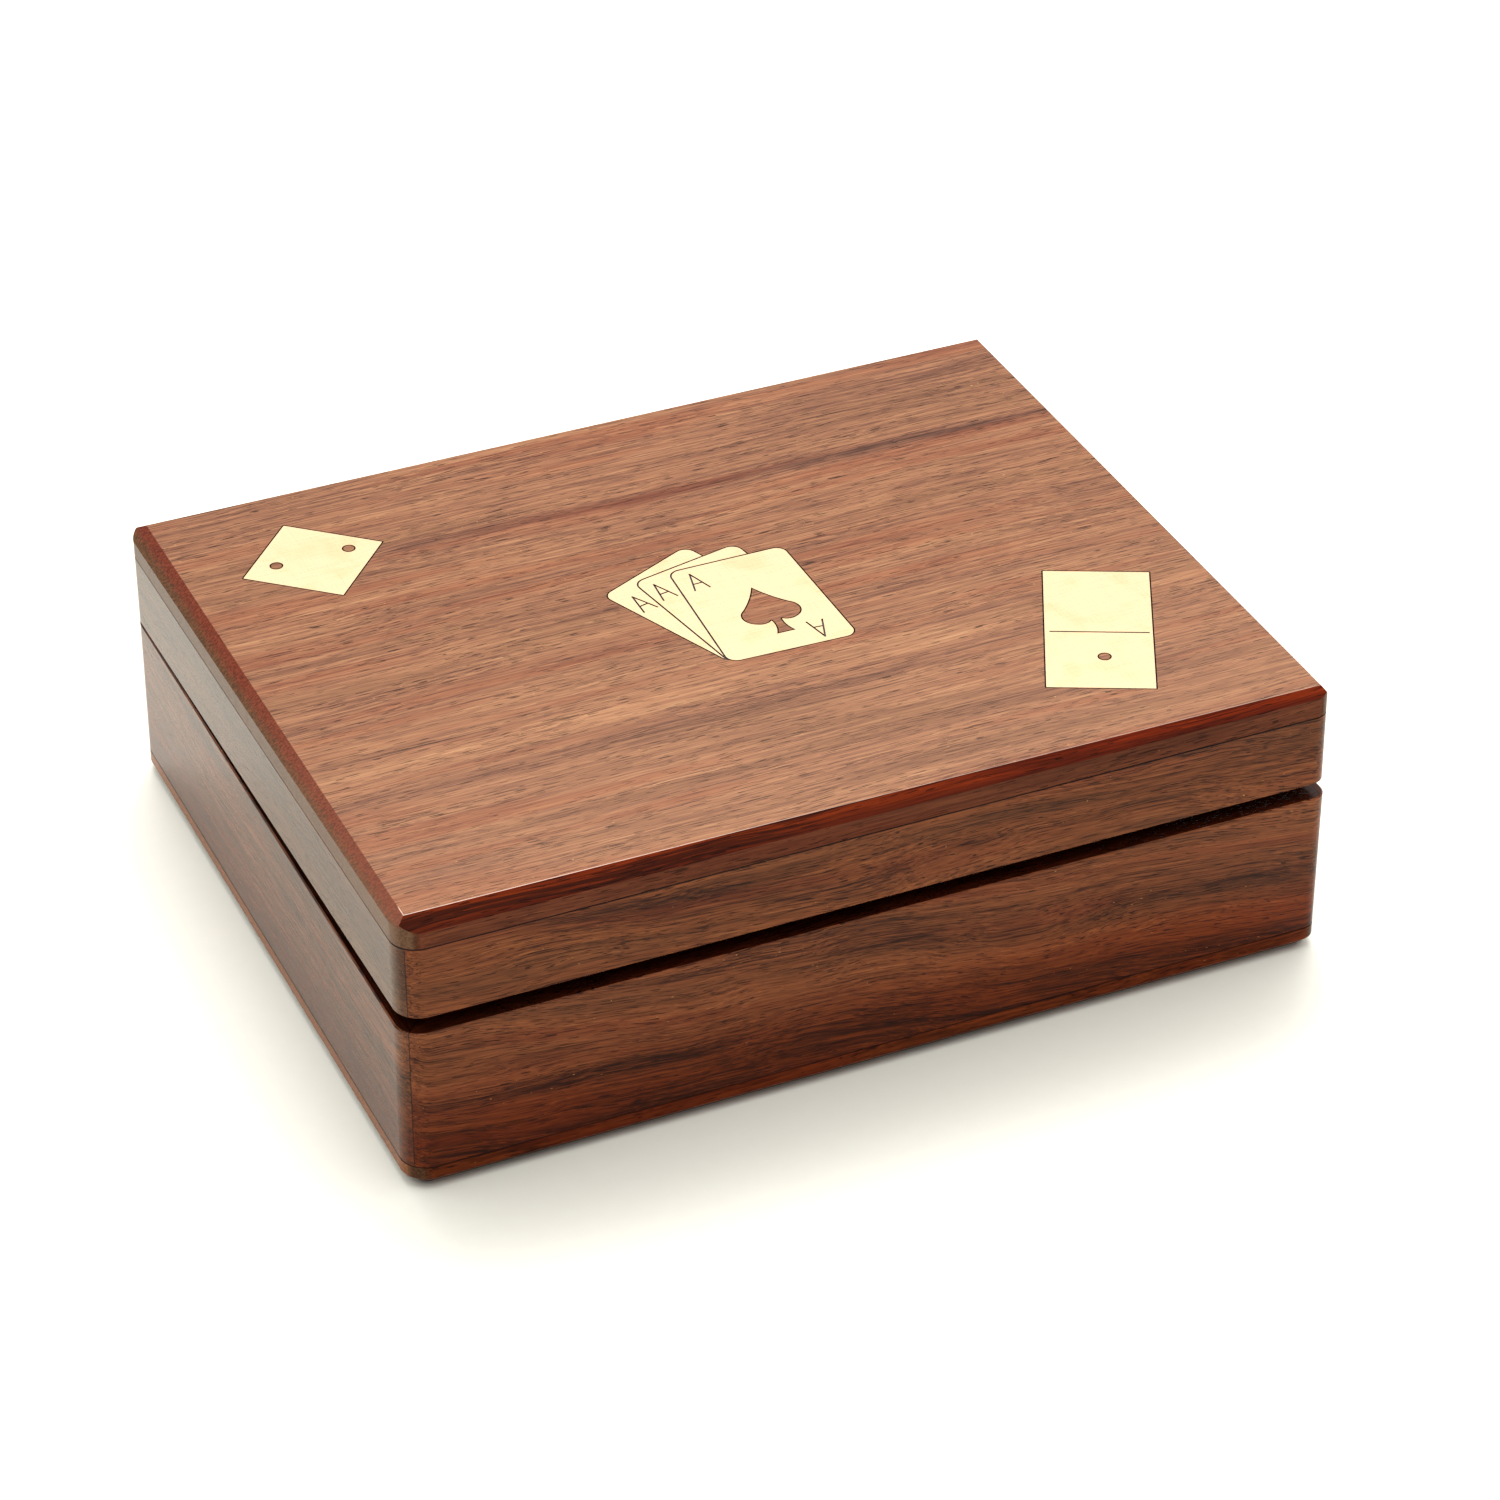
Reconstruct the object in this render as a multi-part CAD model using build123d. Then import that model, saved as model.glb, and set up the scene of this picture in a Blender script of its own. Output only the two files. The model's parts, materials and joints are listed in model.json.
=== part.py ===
from build123d import *
import math
import os

# Hinged hardwood games box with brass inlays in the lid. Millimetres, +Z up.
# The origin is the centre of the underside. +X runs along the front, +Y towards the hinges.

# ---- driving dimensions ----
LENGTH = 165.0            # outside, along X
DEPTH = 134.0             # outside, along Y
BASE_HEIGHT = 31.3        # underside to the base's rim
LID_HEIGHT = 18.3         # lid's rim to its top face
WALL = 8.0                # thickness of walls and rails
TOP_THICKNESS = 5.0       # panel glued over the lid rails
BOTTOM_THICKNESS = 4.5    # panel glued under the walls
LEFT_RADIUS = 4.5         # upright outside corners at the left end
RIGHT_RADIUS = 3.0        # upright outside corners at the right end
LID_TRIM = 0.4            # the lid is this much shorter than the base at the right end
RIM_EASING = 0.25         # softened edges of the rims
SEAM_EASING = 0.12        # softened edges where a panel meets the frame
ARRIS_EASING = 0.3        # softened edges of the planed bevels
RIM_GAP = 0.2             # space between the rims with the lid shut
LID_AJAR = 1.15           # degrees that the lid stands open at rest

# ---- bevels planed round the top panel: the width at each end of a side ----
BEVEL_SLOPE = 0.62        # drop of a bevel for each millimetre of its width
RIGHT_SLOPE = 1.5         # the right bevel is planed steeper
FRONT_BEVEL = (3.2, 2.0)  # at the left end, at the right end
RIGHT_BEVEL = (1.5, 0.9)  # at the front end, at the back end
BACK_BEVEL = (2.6, 2.6)   # at the right end, at the left end
LEFT_BEVEL = (3.0, 2.1)   # at the back end, at the front end
FOOT_BEVEL = 2.2          # lower edges of the bottom panel

# ---- inside ----
DIVIDER = 4.0
DIVIDER_HEIGHT = 22.0
DIVIDER_EASING = 0.8
HOUSING_DEPTH = 2.0       # depth of the slots that hold the dividers' ends
TRAY_WIDTH = 21.0         # dice and domino tray, front to back
CARD_WELL_WIDTH = 65.5    # takes a 63.5 mm wide card deck
FELT = 1.0
FELT_MARGIN = 0.4

# ---- brass inlays ----
BRASS = 1.0               # thickness of the inlays
INLAY_GAP = 0.25          # filler line round each inlay
PIP_RADIUS = 1.2
SCRIBE_WIDTH = 0.32
SCRIBE_DEPTH = 0.25

DIE_SIDE = 18.3
DIE_CENTRE = (-57.1, 41.4)
DIE_TURN = 48.4
DIE_PIPS = [(-6.4, 0.8), (6.9, 1.1)]  # from the die's centre

DOMINO_WIDTH = 18.1
DOMINO_LENGTH = 36.7
DOMINO_CENTRE = (55.3, -34.3)
DOMINO_TURN = -25.9
DOMINO_LINE = 16.8
DOMINO_LINE_AT = (0.15, -1.05)   # its centre, from the domino's
DOMINO_PIP = (0.8, -8.7)         # from the domino's centre

# The cards are hand-cut, so none is a true rectangle.
# Each has its corners in this order: lower left, lower right, upper right, upper left.
BACK_CARD = [(-5.0, -18.3), (13.2, -9.0), (2.7, 18.8), (-16.2, 9.8)]
MIDDLE_CARD = [(-5.0, -18.3), (15.5, -13.9), (10.9, 16.1), (-9.8, 11.5)]
FRONT_CARD = [(-5.2, -18.2), (17.9, -18.9), (18.0, 12.1), (-3.2, 12.1)]
CARD_RADIUS = 1.9
INDEX_HEIGHT = 5.2        # the letter on an ace
INDEX_WIDTH = 2.8
INDICES = [(-11.3, 5.0, 14.0), (-6.6, 7.1, 10.0), (-0.1, 7.6, 2.0), (12.8, -14.8, 176.0)]  # centre and turn
SPADE_TIP = (7.65, 2.0)
SPADE_TURN = -1.2
SPADE_ARCS = [            # right half, from the tip: (start, through, end) of each arc
    [(0.0, 0.0), (1.9, -3.5), (4.2, -6.5)],
    [(4.2, -6.5), (5.3, -9.3), (3.6, -11.5)],
    [(3.6, -11.5), (2.2, -11.8), (0.95, -11.2)],
    [(0.95, -11.2), (1.0, -13.4), (1.7, -15.4)],
]

# ---- hinges ----
HINGE_LENGTH = 25.0
HINGE_CENTRES = (-48.0, 48.0)
LEAF = 1.0                # thickness
LEAF_DEPTH = 6.4          # how far a leaf reaches in from the rear face
LEAF_SINK = 0.05          # a leaf lies this far below its rim
KNUCKLE_RADIUS = 1.6
PIN_RADIUS = 0.8
PIN_CLEARANCE = 0.04
PIN_SETBACK = 1.9         # pin's axis behind the rear face
KNUCKLE_GAP = 0.3
KNUCKLE_RELIEF = 0.4      # space between a leaf and the other leaf's knuckle
PIN_HEAD_RADIUS = 1.3
PIN_HEAD = 0.5
SCREW_SPACING = 15.0
SCREW_INSET = 3.3         # from the rear face
SCREW_RADIUS = 0.9
SCREW_LENGTH = 7.5
SCREW_HEAD_RADIUS = 1.75
SCREW_HEAD = 0.85
SCREW_SLOT = 0.45
SCREW_TIP = 0.1
SCREW_FIT = 0.03          # space round a screw's shank
SLOT_TURN = 7.0           # degrees that a screw's slot is turned by for each millimetre of its place

# ---- places worked out from them ----
LEFT, RIGHT = -LENGTH / 2, LENGTH / 2
LID_RIGHT = RIGHT - LID_TRIM
FRONT, BACK = -DEPTH / 2, DEPTH / 2
LID_RIM = BASE_HEIGHT + RIM_GAP
TOP = LID_RIM + LID_HEIGHT
RAIL_TOP = TOP - TOP_THICKNESS
PIN_Y = BACK + PIN_SETBACK
PIN_Z = BASE_HEIGHT + RIM_GAP / 2
FLOOR = BOTTOM_THICKNESS
LONG_DIVIDER_Y = FRONT + WALL + TRAY_WIDTH + DIVIDER / 2
WELL_FRONT = LONG_DIVIDER_Y + DIVIDER / 2
CROSS_DIVIDER_X = LEFT + WALL + CARD_WELL_WIDTH + DIVIDER / 2
DIVIDER_TOP = FLOOR + DIVIDER_HEIGHT
SIDES = ("front", "back", "left", "right")


def block(x0, x1, y0, y1, z0, z1):
    """A box between two corners."""
    middle = ((x0 + x1) / 2, (y0 + y1) / 2, (z0 + z1) / 2)
    return Pos(*middle) * Box(x1 - x0, y1 - y0, z1 - z0)


def edges_at(solid, height):
    """The edges that lie flat at one height."""
    return solid.edges().filter_by(lambda edge: abs(edge.bounding_box().min.Z - height) < 0.01
                                   and abs(edge.bounding_box().max.Z - height) < 0.01)


def outer_edges(edges):
    """Those of the edges that lie on the box's outline."""
    return edges.filter_by(lambda edge: abs(edge.center().X) > RIGHT - WALL / 2
                           or abs(edge.center().Y) > BACK - WALL / 2)


def rounded_slab(z0, z1, right=RIGHT):
    """The box's rounded outline between two heights."""
    slab = block(LEFT, right, FRONT, BACK, z0, z1)
    slab = fillet(slab.edges().filter_by(Axis.Z).group_by(Axis.X)[0], LEFT_RADIUS)
    return fillet(slab.edges().filter_by(Axis.Z).group_by(Axis.X)[-1], RIGHT_RADIUS)


def wall_ring(z0, z1, rim, seam, right=RIGHT):
    """Four walls in one ring, eased along both edges of the rim and the outer edge of the seam."""
    ring = rounded_slab(z0, z1, right) - block(LEFT + WALL, RIGHT - WALL, FRONT + WALL, BACK - WALL, z0, z1)
    ring = chamfer(edges_at(ring, rim), RIM_EASING)
    return chamfer(outer_edges(edges_at(ring, seam)), SEAM_EASING)


def mitred_side(ring, side, z0, z1):
    """One side of the ring, cut at 45 degrees at both of its ends."""
    inner_x, inner_y = RIGHT - WALL, BACK - WALL
    far_x, far_y = inner_x + LENGTH, inner_y + LENGTH
    plans = {
        "front": [(-inner_x, -inner_y), (inner_x, -inner_y), (far_x, -far_y), (-far_x, -far_y)],
        "back": [(inner_x, inner_y), (-inner_x, inner_y), (-far_x, far_y), (far_x, far_y)],
        "left": [(-inner_x, inner_y), (-inner_x, -inner_y), (-far_x, -far_y), (-far_x, far_y)],
        "right": [(inner_x, -inner_y), (inner_x, inner_y), (far_x, far_y), (far_x, -far_y)],
    }
    wedge = extrude(make_face(Polyline(*plans[side], close=True)), z1 - z0)
    return ring & Pos(0, 0, z0) * wedge


def swing(shape):
    """Turn a lid piece from shut to where the lid stands at rest."""
    return Pos(0, PIN_Y, PIN_Z) * Rot(-LID_AJAR, 0, 0) * Pos(0, -PIN_Y, -PIN_Z) * shape


# ---- hinges ----
def knuckle_spans(leaf):
    """Where a leaf's knuckles lie along the pin, from the hinge's centre."""
    third = HINGE_LENGTH / 3
    edge = third / 2
    if leaf == "lid":
        return [(-edge + KNUCKLE_GAP / 2, edge - KNUCKLE_GAP / 2)]
    return [(-HINGE_LENGTH / 2, -edge - KNUCKLE_GAP / 2), (edge + KNUCKLE_GAP / 2, HINGE_LENGTH / 2)]


def screw_places(centre):
    """The two screws of one leaf."""
    return [(centre + side * SCREW_SPACING / 2, BACK - SCREW_INSET) for side in (-1, 1)]


def along_x(radius, x0, x1, y, z):
    """A cylinder along X."""
    turned = Rot(0, 90, 0) * Cylinder(radius, x1 - x0)
    return Pos((x0 + x1) / 2, y, z) * turned


def facing(into):
    """Turns a screw that points down so that it points up, where into is +1."""
    return Rot(180, 0, 0) if into > 0 else Rot(0, 0, 0)


def screw_head():
    """A countersunk head whose face is at the origin."""
    return Pos(0, 0, -SCREW_HEAD / 2) * Cone(SCREW_RADIUS, SCREW_HEAD_RADIUS, SCREW_HEAD)


def hinge_leaf(centre, leaf, face, into):
    """A leaf: plate in its mortise, its knuckles, and two countersunk holes. into points into the wood."""
    x0, x1 = centre - HINGE_LENGTH / 2, centre + HINGE_LENGTH / 2
    z0, z1 = sorted((face, face + into * LEAF))
    solid = block(x0, x1, BACK - LEAF_DEPTH, BACK - KNUCKLE_RELIEF, z0, z1)
    for start, end in knuckle_spans(leaf):
        solid += block(centre + start, centre + end, BACK - LEAF_DEPTH, PIN_Y, z0, z1)
        solid += along_x(KNUCKLE_RADIUS, centre + start, centre + end, PIN_Y, PIN_Z)
    solid -= along_x(PIN_RADIUS + PIN_CLEARANCE, x0 - 1, x1 + 1, PIN_Y, PIN_Z)
    for x, y in screw_places(centre):
        solid -= Pos(x, y, face) * facing(into) * screw_head()
        solid -= Pos(x, y, (z0 + z1) / 2) * Cylinder(SCREW_RADIUS + SCREW_FIT, LEAF)
    return solid


def hinge_pin(centre):
    """A pin through all three knuckles, with a thin head at each end."""
    x0, x1 = centre - HINGE_LENGTH / 2, centre + HINGE_LENGTH / 2
    pin = along_x(PIN_RADIUS, x0, x1, PIN_Y, PIN_Z)
    pin += along_x(PIN_HEAD_RADIUS, x0 - PIN_HEAD, x0, PIN_Y, PIN_Z)
    pin += along_x(PIN_HEAD_RADIUS, x1, x1 + PIN_HEAD, PIN_Y, PIN_Z)
    return pin


def screw(x, y, face, into):
    """A slotted countersunk screw. into is -1 when it points down and +1 when it points up."""
    shank_length = SCREW_LENGTH - SCREW_HEAD
    shank = Pos(0, 0, -SCREW_HEAD - shank_length / 2) * Cylinder(SCREW_RADIUS, shank_length)
    point = Pos(0, 0, -SCREW_LENGTH - SCREW_RADIUS) * Cone(SCREW_TIP, SCREW_RADIUS, 2 * SCREW_RADIUS)
    slot = Rot(0, 0, SLOT_TURN * x) * Box(3 * SCREW_HEAD_RADIUS, SCREW_SLOT, 2 * SCREW_SLOT)
    return Pos(x, y, face) * facing(into) * (screw_head() + shank + point - slot)


def screw_hole(x, y, rim, into):
    """The hole that a screw has made in the wood."""
    depth = SCREW_LENGTH + 2 * SCREW_RADIUS + SCREW_FIT
    return Pos(x, y, rim + into * depth / 2) * Cylinder(SCREW_RADIUS + SCREW_FIT, depth)


def mortise(centre, z0, z1):
    """The pocket for a leaf, open at the rear face."""
    return block(centre - HINGE_LENGTH / 2, centre + HINGE_LENGTH / 2, BACK - LEAF_DEPTH, BACK + 1, z0, z1)


# ---- inlays ----
def card(corners):
    """The outline of one card."""
    return fillet(make_face(Polyline(*corners, close=True)).vertices(), CARD_RADIUS)


def spade():
    """The spade that is cut through the front card."""
    right = [ThreePointArc(*arc) for arc in SPADE_ARCS]
    left = [ThreePointArc(*[(-x, y) for x, y in arc]) for arc in SPADE_ARCS]
    foot_x, foot_y = SPADE_ARCS[-1][-1]
    foot = Line((foot_x, foot_y), (-foot_x, foot_y))
    return Pos(*SPADE_TIP) * Rot(0, 0, SPADE_TURN) * make_face(right + left + [foot])


def stroke(start, end):
    """A scribed line as a thin strip."""
    (x0, y0), (x1, y1) = start, end
    length = math.hypot(x1 - x0, y1 - y0) + SCRIBE_WIDTH
    turn = math.degrees(math.atan2(y1 - y0, x1 - x0))
    return Pos((x0 + x1) / 2, (y0 + y1) / 2) * Rot(0, 0, turn) * Rectangle(length, SCRIBE_WIDTH)


def ace_index():
    """The letter on an ace, upright and centred on the origin."""
    foot, top, bar = -INDEX_HEIGHT / 2, INDEX_HEIGHT / 2, -INDEX_HEIGHT / 8
    half = INDEX_WIDTH / 2
    bar_half = half * (top - bar) / INDEX_HEIGHT
    legs = stroke((-half, foot), (0, top)) + stroke((half, foot), (0, top))
    return legs + stroke((-bar_half, bar), (bar_half, bar))


def edge_scribe(corners, below):
    """The line scribed round a card, where it crosses what lies below."""
    return (offset(card(corners), SCRIBE_WIDTH) - card(corners)) & below


def die_outline():
    """The die face."""
    return Pos(*DIE_CENTRE) * Rot(0, 0, DIE_TURN) * Rectangle(DIE_SIDE, DIE_SIDE)


def die_pips():
    """The die's two pips."""
    x, y = DIE_CENTRE
    first, second = [Pos(x + dx, y + dy) * Circle(PIP_RADIUS) for dx, dy in DIE_PIPS]
    return first + second


def domino_place():
    """The domino's centre and turn."""
    return Pos(*DOMINO_CENTRE) * Rot(0, 0, DOMINO_TURN)


def domino_outline():
    """The domino."""
    return domino_place() * Rectangle(DOMINO_WIDTH, DOMINO_LENGTH)


def domino_pip():
    """The one pip in the domino's lower half."""
    return domino_place() * Pos(*DOMINO_PIP) * Circle(PIP_RADIUS)


def card_fan():
    """The outline of the three fanned cards together."""
    return card(BACK_CARD) + card(MIDDLE_CARD) + card(FRONT_CARD)


def card_scribes():
    """All the lines scribed on the fan: two card edges and four letters."""
    back, middle, front = card(BACK_CARD), card(MIDDLE_CARD), card(FRONT_CARD)
    marks = [edge_scribe(MIDDLE_CARD, back) - front, edge_scribe(FRONT_CARD, back + middle)]
    for x, y, turn in INDICES:
        marks.append(Pos(x, y) * Rot(0, 0, turn) * ace_index())
    return marks


def brass_plate(outline, holes, scribes):
    """A brass inlay, flush with the lid's top face when the lid is shut."""
    plate = extrude(outline - holes, BRASS)
    for mark in scribes:
        plate -= Pos(0, 0, BRASS - SCRIBE_DEPTH) * extrude(mark, SCRIBE_DEPTH)
    return Pos(0, 0, TOP - BRASS) * plate


def pocket(outline, holes):
    """The recess for an inlay, with the wood left standing where the brass is cut through."""
    recess = extrude(offset(outline, INLAY_GAP), BRASS) - extrude(offset(holes, -INLAY_GAP), BRASS)
    return Pos(0, 0, TOP - BRASS) * recess


# ---- base ----
def base_walls():
    """The four mitred walls."""
    ring = wall_ring(FLOOR, BASE_HEIGHT, rim=BASE_HEIGHT, seam=FLOOR)
    walls = {side: mitred_side(ring, side, FLOOR, BASE_HEIGHT) for side in SIDES}
    for centre in HINGE_CENTRES:
        walls["back"] -= mortise(centre, BASE_HEIGHT - LEAF_SINK - LEAF, BASE_HEIGHT + 1)
        for x, y in screw_places(centre):
            walls["back"] -= screw_hole(x, y, BASE_HEIGHT - LEAF_SINK, -1)
    housing = long_divider()
    walls["left"] -= housing
    walls["right"] -= housing
    walls["back"] -= cross_divider()
    return walls


def bottom_panel():
    """The bottom, with its lower edges bevelled."""
    panel = rounded_slab(0, BOTTOM_THICKNESS)
    panel = chamfer(edges_at(panel, BOTTOM_THICKNESS), SEAM_EASING)
    return chamfer(edges_at(panel, 0), FOOT_BEVEL)


def long_divider():
    """The divider between the tray and the wells, housed in the left and right walls."""
    reach = HOUSING_DEPTH
    strip = block(LEFT + WALL - reach, RIGHT - WALL + reach, LONG_DIVIDER_Y - DIVIDER / 2,
                  LONG_DIVIDER_Y + DIVIDER / 2, FLOOR, DIVIDER_TOP)
    upper = strip.faces().sort_by(Axis.Z)[-1].edges().filter_by(Axis.X)
    return chamfer(upper, DIVIDER_EASING)


def cross_divider():
    """The divider between the card well and the chip well, housed in the back wall."""
    strip = block(CROSS_DIVIDER_X - DIVIDER / 2, CROSS_DIVIDER_X + DIVIDER / 2, WELL_FRONT,
                  BACK - WALL + HOUSING_DEPTH, FLOOR, DIVIDER_TOP)
    upper = strip.faces().sort_by(Axis.Z)[-1].edges().filter_by(Axis.Y)
    return chamfer(upper, DIVIDER_EASING)


def felt_pad(x0, x1, y0, y1, z0):
    """A felt pad that lies inside the given edges."""
    m = FELT_MARGIN
    return block(x0 + m, x1 - m, y0 + m, y1 - m, z0, z0 + FELT)


# ---- lid, drawn shut ----
def bevel_cut(start, end, outward, slope=BEVEL_SLOPE):
    """Everything above a bevel whose upper edge runs from start to end on the top face."""
    edge = Vector(end[0] - start[0], end[1] - start[1], 0).normalized()
    normal = Vector(outward[0] * slope, outward[1] * slope, 1)
    normal = (normal - edge * normal.dot(edge)).normalized()
    middle = Vector((start[0] + end[0]) / 2, (start[1] + end[1]) / 2, TOP)
    plane = Plane(origin=middle, x_dir=edge, z_dir=normal)
    height = 2 * TOP_THICKNESS
    return plane * Pos(0, 0, height / 2) * Box(1.5 * LENGTH, 2 * height, height)


def top_panel():
    """The lid's panel: four planed bevels and three pockets for the inlays."""
    panel = rounded_slab(RAIL_TOP, TOP, LID_RIGHT)
    panel = chamfer(edges_at(panel, RAIL_TOP), SEAM_EASING)
    right_ends = [LID_RIGHT - width for width in RIGHT_BEVEL]
    panel -= bevel_cut((LEFT, FRONT + FRONT_BEVEL[0]), (RIGHT, FRONT + FRONT_BEVEL[1]), (0, -1))
    panel -= bevel_cut((right_ends[0], FRONT), (right_ends[1], BACK), (1, 0), RIGHT_SLOPE)
    panel -= bevel_cut((RIGHT, BACK - BACK_BEVEL[0]), (LEFT, BACK - BACK_BEVEL[1]), (0, 1))
    panel -= bevel_cut((LEFT + LEFT_BEVEL[0], BACK), (LEFT + LEFT_BEVEL[1], FRONT), (-1, 0))
    panel = fillet(edges_at(panel, TOP), ARRIS_EASING)
    panel -= pocket(die_outline(), die_pips())
    panel -= pocket(card_fan(), spade())
    panel -= pocket(domino_outline(), domino_pip())
    return panel


def lid_rails():
    """The four mitred rails."""
    ring = wall_ring(LID_RIM, RAIL_TOP, rim=LID_RIM, seam=RAIL_TOP, right=LID_RIGHT)
    rails = {side: mitred_side(ring, side, LID_RIM, RAIL_TOP) for side in SIDES}
    for centre in HINGE_CENTRES:
        rails["back"] -= mortise(centre, LID_RIM - 1, LID_RIM + LEAF_SINK + LEAF)
        for x, y in screw_places(centre):
            rails["back"] -= screw_hole(x, y, LID_RIM + LEAF_SINK, 1)
    return rails


# ---- all the pieces ----
pieces = {}
for side, wall in base_walls().items():
    pieces["base_" + side + "_wall"] = wall
pieces["base_bottom_panel"] = bottom_panel()
pieces["long_divider"] = long_divider()
pieces["cross_divider"] = cross_divider()
inner_left, inner_right = LEFT + WALL, RIGHT - WALL
inner_front, inner_back = FRONT + WALL, BACK - WALL
pieces["tray_felt"] = felt_pad(inner_left, inner_right, inner_front, LONG_DIVIDER_Y - DIVIDER / 2, FLOOR)
pieces["card_well_felt"] = felt_pad(inner_left, CROSS_DIVIDER_X - DIVIDER / 2, WELL_FRONT, inner_back, FLOOR)
pieces["chip_well_felt"] = felt_pad(CROSS_DIVIDER_X + DIVIDER / 2, inner_right, WELL_FRONT, inner_back, FLOOR)
for name, centre in zip(("left", "right"), HINGE_CENTRES):
    pieces[name + "_hinge_base_leaf"] = hinge_leaf(centre, "base", BASE_HEIGHT - LEAF_SINK, -1)
    pieces[name + "_hinge_lid_leaf"] = swing(hinge_leaf(centre, "lid", LID_RIM + LEAF_SINK, 1))
    pieces[name + "_hinge_pin"] = hinge_pin(centre)
screw_spots = [spot for centre in HINGE_CENTRES for spot in screw_places(centre)]
pieces["base_hinge_screws"] = Compound([screw(x, y, BASE_HEIGHT - LEAF_SINK, -1) for x, y in screw_spots])
pieces["lid_hinge_screws"] = Compound([swing(screw(x, y, LID_RIM + LEAF_SINK, 1)) for x, y in screw_spots])
for side, rail in lid_rails().items():
    pieces["lid_" + side + "_rail"] = swing(rail)
pieces["lid_top_panel"] = swing(top_panel())
pieces["lid_felt"] = swing(felt_pad(inner_left, inner_right, inner_front, inner_back, RAIL_TOP - FELT))
pieces["die_inlay"] = swing(brass_plate(die_outline(), die_pips(), []))
pieces["card_fan_inlay"] = swing(brass_plate(card_fan(), spade(), card_scribes()))
domino_scribe = domino_place() * Pos(*DOMINO_LINE_AT) * Rectangle(DOMINO_LINE, SCRIBE_WIDTH)
pieces["domino_inlay"] = swing(brass_plate(domino_outline(), domino_pip(), [domino_scribe]))

os.makedirs("parts", exist_ok=True)
for name, shape in pieces.items():
    export_step(shape, "parts/" + name + ".step")
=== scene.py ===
import json
import math

import bpy
from mathutils import Matrix, Vector, noise

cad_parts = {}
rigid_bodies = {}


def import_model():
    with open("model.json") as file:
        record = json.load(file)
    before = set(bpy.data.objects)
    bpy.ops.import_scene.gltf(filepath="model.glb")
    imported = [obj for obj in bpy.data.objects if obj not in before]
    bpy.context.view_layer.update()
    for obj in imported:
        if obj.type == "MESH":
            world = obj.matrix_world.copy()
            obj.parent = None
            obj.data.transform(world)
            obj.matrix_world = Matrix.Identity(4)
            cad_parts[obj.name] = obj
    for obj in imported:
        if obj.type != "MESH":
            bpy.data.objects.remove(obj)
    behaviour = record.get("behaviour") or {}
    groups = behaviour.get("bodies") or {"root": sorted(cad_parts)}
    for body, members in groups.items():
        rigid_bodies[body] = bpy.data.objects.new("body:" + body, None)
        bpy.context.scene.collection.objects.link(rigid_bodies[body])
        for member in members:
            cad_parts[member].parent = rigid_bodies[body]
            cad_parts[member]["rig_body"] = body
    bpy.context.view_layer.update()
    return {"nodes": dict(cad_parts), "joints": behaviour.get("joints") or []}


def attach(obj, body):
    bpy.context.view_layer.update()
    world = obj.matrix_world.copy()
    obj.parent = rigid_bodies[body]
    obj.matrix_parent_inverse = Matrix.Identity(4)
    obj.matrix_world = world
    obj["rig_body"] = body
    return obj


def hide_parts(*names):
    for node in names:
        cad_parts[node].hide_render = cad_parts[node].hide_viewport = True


for leftover in list(bpy.data.objects):
    bpy.data.objects.remove(leftover, do_unlink=True)

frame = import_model()
nodes = frame["nodes"]

# ---- places, in millimetres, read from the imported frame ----
MM = 1000.0
hinge = frame["joints"][0]
PIN = Vector(hinge["pos_m"]) * MM
AJAR = -math.radians(hinge["range_deg"][0])   # how far the lid stands open at rest


def shut(point):
    """Where a point of the lid lies once the lid is shut."""
    arm = Vector(point) * MM - PIN
    return PIN + Matrix.Rotation(AJAR, 3, "X") @ arm


def corners(node):
    """Lowest and highest corner of a node in millimetres, with the lid shut."""
    moves = node in lid_nodes
    points = [v.co for v in nodes[node].data.vertices]
    points = [shut(p) if moves else p * MM for p in points]
    low = Vector(min(p[i] for p in points) for i in range(3))
    high = Vector(max(p[i] for p in points) for i in range(3))
    return low, high


lid_nodes = {name for name, thing in nodes.items() if thing["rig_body"] == "lid"}
wall_low, wall_high = corners("base_front_wall")
right_high = corners("base_right_wall")[1]
BASE_RIM = wall_high.z
BASE_SEAM = wall_low.z
LID_RIM = corners("lid_front_rail")[0].z
LID_SEAM = corners("lid_front_rail")[1].z
TOP = corners("lid_top_panel")[1].z
HALF_LENGTH = right_high.x
HALF_DEPTH = -wall_low.y
MITRE = HALF_LENGTH - HALF_DEPTH      # |x| - |y| on every mitre plane


# ---- building materials ----
def paint(code):
    """A colour written as six hex digits, as linear RGBA."""
    parts = [int(code[i:i + 2], 16) / 255 for i in (0, 2, 4)]
    return [p / 12.92 if p <= 0.04045 else ((p + 0.055) / 1.055) ** 2.4 for p in parts] + [1.0]


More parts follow.
